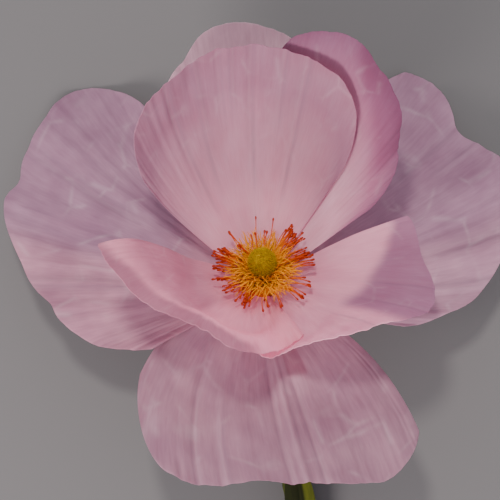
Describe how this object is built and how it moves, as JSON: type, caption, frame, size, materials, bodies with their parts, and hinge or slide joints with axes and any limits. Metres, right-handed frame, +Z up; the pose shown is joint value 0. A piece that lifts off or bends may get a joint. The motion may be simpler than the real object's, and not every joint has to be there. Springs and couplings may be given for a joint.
{
  "type": "crepe paper flower",
  "caption": "Open paper flower lying face up, with broad creped petals cupped round a fringed centre, on a wrapped wire stem that bends and runs along the table with a narrow leaf.",
  "frame": {"origin": "on the table, under the middle of the whole flower's bounding box", "axes": "+Z up from the table; +Y from the stem's cut end towards the top petals; +X to the right, seen from above with the stem pointing down"},
  "size_m": [0.217, 0.364, 0.131],
  "materials": {
    "pink_crepe_light": "matt, finely creped",
    "pink_crepe": "matt, finely creped",
    "green_crepe": "matt, finely creped",
    "green_crepe_dark": "matt, wound in a spiral",
    "olive_crepe": "matt, finely fringed",
    "yellow_crepe": "matt, cut in twisted threads",
    "orange_crepe": "matt, cut in twisted threads",
    "steel_wire": "bare drawn wire",
    "foam_core": "cut foam"
  },
  "bodies": {
    "root": {"inner_petal_top": "pink_crepe_light", "inner_petal_top_right": "pink_crepe_light", "inner_petal_left": "pink_crepe_light", "inner_petal_right": "pink_crepe_light", "back_petal_top": "pink_crepe", "outer_petal_left": "pink_crepe", "outer_petal_right": "pink_crepe", "outer_petal_bottom": "pink_crepe", "sepal_1": "green_crepe", "sepal_2": "green_crepe", "sepal_3": "green_crepe", "sepal_4": "green_crepe", "sepal_5": "green_crepe", "stem_wrap": "green_crepe_dark", "neck_tape": "green_crepe_dark", "stem_leaf": "green_crepe", "stem_wire": "steel_wire", "pistil_core": "foam_core", "pistil_cover": "olive_crepe", "stamen_fringe_inner": "yellow_crepe", "stamen_fringe_middle": "yellow_crepe", "stamen_fringe_outer": "orange_crepe"}
  },
  "joints": []
}
